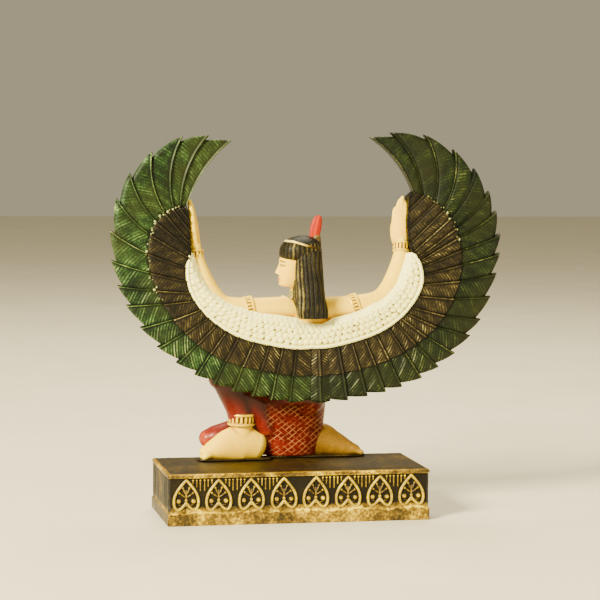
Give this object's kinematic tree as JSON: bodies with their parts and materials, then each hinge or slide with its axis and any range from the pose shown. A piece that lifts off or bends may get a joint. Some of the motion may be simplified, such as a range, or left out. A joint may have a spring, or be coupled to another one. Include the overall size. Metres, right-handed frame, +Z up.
{
  "type": "winged goddess statue",
  "caption": "Small painted cast statue of a kneeling goddess with raised arms and wide feathered wings on a low rectangular plinth with a heart frieze.",
  "frame": {"origin": "middle of the plinth's flat underside", "axes": "+Z up, +X along the plinth to the right when the figure's back is seen, -Y towards the figure's back, and she looks towards -X"},
  "size_m": [0.1515, 0.0442, 0.1462],
  "materials": {
    "plinth_resin": "satin",
    "figure_resin": "satin"
  },
  "bodies": {
    "root": {"plinth": "plinth_resin", "winged_figure": "figure_resin"}
  },
  "joints": []
}
